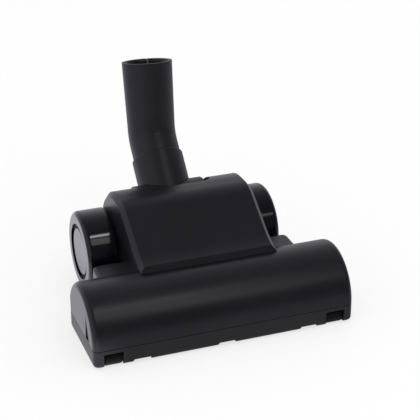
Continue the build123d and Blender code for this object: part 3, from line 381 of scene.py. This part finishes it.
def makeTuft(dice):
    hair = makeHair()
    hairs = [hair]
    around = tufts["hairs"] - 1
    for index in range(around):
        angle = 2 * pi * index / around
        copy = copyOf(hair)
        lean = dice.uniform(*tufts["lean"])
        copy.matrix_world = (
            Matrix.Translation((tufts["spread"] * cos(angle), tufts["spread"] * sin(angle), 0))
            @ Matrix.Rotation(lean, 4, (-sin(angle), cos(angle), 0))
            @ Matrix.Rotation(dice.uniform(*tufts["twist"]), 4, "Z")
            @ Matrix.Scale(dice.uniform(*tufts["hairScale"]), 4)
        )
        hairs.append(copy)
    return joined(hairs, "tuft")


def makeBristles():
    dice = random.Random(tufts["seed"])
    tuft = makeTuft(dice)
    copies = []
    along = Vector((1, 0, 0))
    count = int(2 * tufts["end"] / tufts["pitch"])
    for row in range(tufts["rows"]):
        for index in range(count + 1):
            x = -tufts["end"] + 2 * tufts["end"] * index / count
            if tufts["beltGap"][0] < x < tufts["beltGap"][1]:
                continue
            turn = row * pi + tufts["turnPerMetre"] * abs(x)
            copy = copyOf(tuft)
            outward = Vector((0, cos(turn), sin(turn)))
            base = Vector((x, *tufts["axis"])) + tufts["root"] * outward
            stand = Matrix((along, -along.cross(outward), outward)).transposed().to_4x4()
            copy.matrix_world = (
                Matrix.Translation(base) @ stand
                @ Matrix.Rotation(dice.uniform(*tufts["twist"]), 4, "Z")
                @ Matrix.Scale(dice.uniform(*tufts["tuftScale"]), 4)
            )
            copies.append(copy)
    bpy.data.objects.remove(tuft)
    brush = joined(copies, "bristle_tufts")
    settle(brush)
    brush.data.materials.clear()
    brush.data.materials.append(finishes["bristle"])
    bpy.ops.object.shade_smooth_by_angle(angle=tufts["smoothUpTo"])
    return brush


bristles = makeBristles()
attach(bristles, "brush_roll")
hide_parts("bristle_strips")
print("bristle tufts set,", len(bristles.data.polygons), "faces")


# floor: white paper to the camera, and softer where the gloss mirrors it
floorLook = {
    "size": 12.0, "paper": grey(0.82), "rough": 0.9, "shadowShare": 0.3,
    "depth": (-0.35, 0.25), "depthTone": (0.42, 0.55),  # mirrored, from the front to the back
    "leftStart": (-0.06, -0.10), "leftTone": (0.0, 1.15),  # a paler patch left of the nose
    "leftStop": (-0.17, -0.27),
}


def floorMaterial():
    material, tree, shader = newMaterial("floorPaper")
    link = tree.links.new
    shader.inputs["Base Color"].default_value = floorLook["paper"]
    shader.inputs["Roughness"].default_value = floorLook["rough"]
    shader.inputs["Specular IOR Level"].default_value = 0.0
    coords = addNode(tree, "ShaderNodeTexCoord", (-1100, -300))
    parts = addNode(tree, "ShaderNodeSeparateXYZ", (-900, -300))
    link(coords.outputs["Object"], parts.inputs["Vector"])
    x, y = parts.outputs["X"], parts.outputs["Y"]
    depth = remap(tree, (-700, -300), y, floorLook["depth"], floorLook["depthTone"], True)
    begins = remap(tree, (-700, -600), x, floorLook["leftStart"], floorLook["leftTone"], True)
    ends = remap(tree, (-700, -850), x, floorLook["leftStop"], (1.0, 0.0), True)
    left = mathOf(tree, (-600, -700), "MULTIPLY", begins, ends)
    mirrored = addNode(tree, "ShaderNodeEmission", (-450, -300), Color=cool(1))
    link(mathOf(tree, (-550, -450), "MAXIMUM", depth, left), mirrored.inputs["Strength"])
    white = addNode(tree, "ShaderNodeEmission", (-450, -500), Color=grey(1), Strength=1.0)

    # white with some of the object's shadow left in it
    shaded = addNode(tree, "ShaderNodeMixShader", (-200, -100))
    shaded.inputs["Fac"].default_value = 1 - floorLook["shadowShare"]
    link(shader.outputs["BSDF"], shaded.inputs[1])
    link(white.outputs["Emission"], shaded.inputs[2])

    ray = addNode(tree, "ShaderNodeLightPath", (-700, 500)).outputs
    side = addNode(tree, "ShaderNodeNewGeometry", (200, 300)).outputs
    clear = addNode(tree, "ShaderNodeBsdfTransparent", (200, -300)).outputs
    surface = chooseBy(
        tree, (0, 0), ray["Is Camera Ray"], shader.outputs["BSDF"], shaded.outputs["Shader"]
    )
    surface = chooseBy(
        tree, (200, 0), ray["Is Glossy Ray"], surface, mirrored.outputs["Emission"]
    )
    surface = chooseBy(tree, (400, 0), side["Backfacing"], surface, clear["BSDF"])
    link(surface, tree.nodes["Material Output"].inputs["Surface"])
    return material


deselectAll()
bpy.ops.mesh.primitive_plane_add(size=floorLook["size"], location=(0, 0, 0))
floor = bpy.context.object
floor.name = "floor"
floor.data.materials.append(floorMaterial())
print("floor laid")


# room: plain light, white to the camera, and graded where the gloss mirrors it
roomLook = {
    "light": 1.15,
    "behindWay": (0.0, 1.0, -0.55),
    "behind": [(0.05, cool(0.12)), (0.35, cool(0.24)), (0.55, cool(0.36)), (0.85, cool(0.75))],
    "leftWay": (-1.0, 0.0, 0.0),
    "left": [(0.15, grey(0)), (0.75, cool(0.6))],
}


def wayOf(tree, place, direction, way):
    node = addNode(tree, "ShaderNodeVectorMath", place, operation="DOT_PRODUCT")
    node.inputs[1].default_value = way
    tree.links.new(direction, node.inputs[0])
    return node.outputs["Value"]


def roomWorld():
    world = bpy.data.worlds.new("studio")
    bpy.context.scene.world = world
    world.use_nodes = True
    tree = world.node_tree
    link = tree.links.new
    plain = tree.nodes["Background"]
    plain.inputs["Color"].default_value = grey(1)
    plain.inputs["Strength"].default_value = roomLook["light"]
    white = addNode(tree, "ShaderNodeBackground", (0, -200), Color=grey(1), Strength=1.0)
    room = addNode(tree, "ShaderNodeBackground", (0, -400), Color=grey(1))
    direction = addNode(tree, "ShaderNodeTexCoord", (-1200, -400)).outputs["Generated"]

    half = addNode(tree, "ShaderNodeMath", (-900, -150), operation="MULTIPLY_ADD")
    half.inputs[1].default_value = 0.5
    half.inputs[2].default_value = 0.5
    link(wayOf(tree, (-1000, -300), direction, roomLook["behindWay"]), half.inputs[0])
    behind = rampOf(tree, (-800, -300), half.outputs["Value"], roomLook["behind"])
    sideways = wayOf(tree, (-1000, -600), direction, roomLook["leftWay"])
    left = rampOf(tree, (-800, -600), sideways, roomLook["left"])

    brighter = addNode(
        tree, "ShaderNodeMix", (-450, -450), data_type="RGBA", blend_type="LIGHTEN"
    )
    brighter.inputs["Factor"].default_value = 1.0
    link(behind, brighter.inputs["A"])
    link(left, brighter.inputs["B"])
    link(brighter.outputs["Result"], room.inputs["Color"])

    ray = addNode(tree, "ShaderNodeLightPath", (-200, 200)).outputs
    seen = chooseBy(
        tree, (200, 0), ray["Is Camera Ray"],
        plain.outputs["Background"], white.outputs["Background"],
    )
    seen = chooseBy(tree, (400, 0), ray["Is Glossy Ray"], seen, room.outputs["Background"])
    link(seen, tree.nodes["World Output"].inputs["Surface"])


roomWorld()


# lamps: area lamps from a left to a right end, facing the object
lamps = {
    "streakLamp": {
        "left": (0.13, -0.60, 1.26), "right": (0.31, -0.60, 1.26), "height": 0.15, "power": 0.62,
    },
    "noseLamp": {
        "left": (0.02, -0.80, 1.12), "right": (0.52, -1.02, 0.92), "height": 0.36, "power": 0.85,
    },
}


def addLamp(name, values):
    left, right = Vector(values["left"]), Vector(values["right"])
    data = bpy.data.lights.new(name, "AREA")
    data.shape = "RECTANGLE"
    data.size, data.size_y = (right - left).length, values["height"]
    data.energy = values["power"]
    lamp = bpy.data.objects.new(name, data)
    bpy.context.scene.collection.objects.link(lamp)
    lamp.location = (left + right) / 2
    facing = lamp.location.normalized()
    upward = facing.cross((right - left).normalized()).normalized()
    along = upward.cross(facing)
    lamp.rotation_mode = "QUATERNION"
    lamp.rotation_quaternion = Matrix((along, upward, facing)).transposed().to_quaternion()


for name, values in lamps.items():
    addLamp(name, values)
print("room and lamps set")


# camera at the photograph's angle
cameraView = {
    "place": (-0.31708, -0.93823, 0.55522), "aim": (0.00277, -0.06206, 0.09336),
    "lens": 117.1, "sensor": 36.0,
}
cameraData = bpy.data.cameras.new("camera")
cameraData.lens = cameraView["lens"]
cameraData.sensor_width = cameraView["sensor"]
camera = bpy.data.objects.new("camera", cameraData)
bpy.context.scene.collection.objects.link(camera)
camera.location = cameraView["place"]
aiming = Vector(cameraView["aim"]) - Vector(cameraView["place"])
camera.rotation_mode = "QUATERNION"
camera.rotation_quaternion = aiming.to_track_quat("-Z", "Y")
bpy.context.scene.camera = camera
bpy.context.scene.view_settings.view_transform = "Standard"
print("camera set")
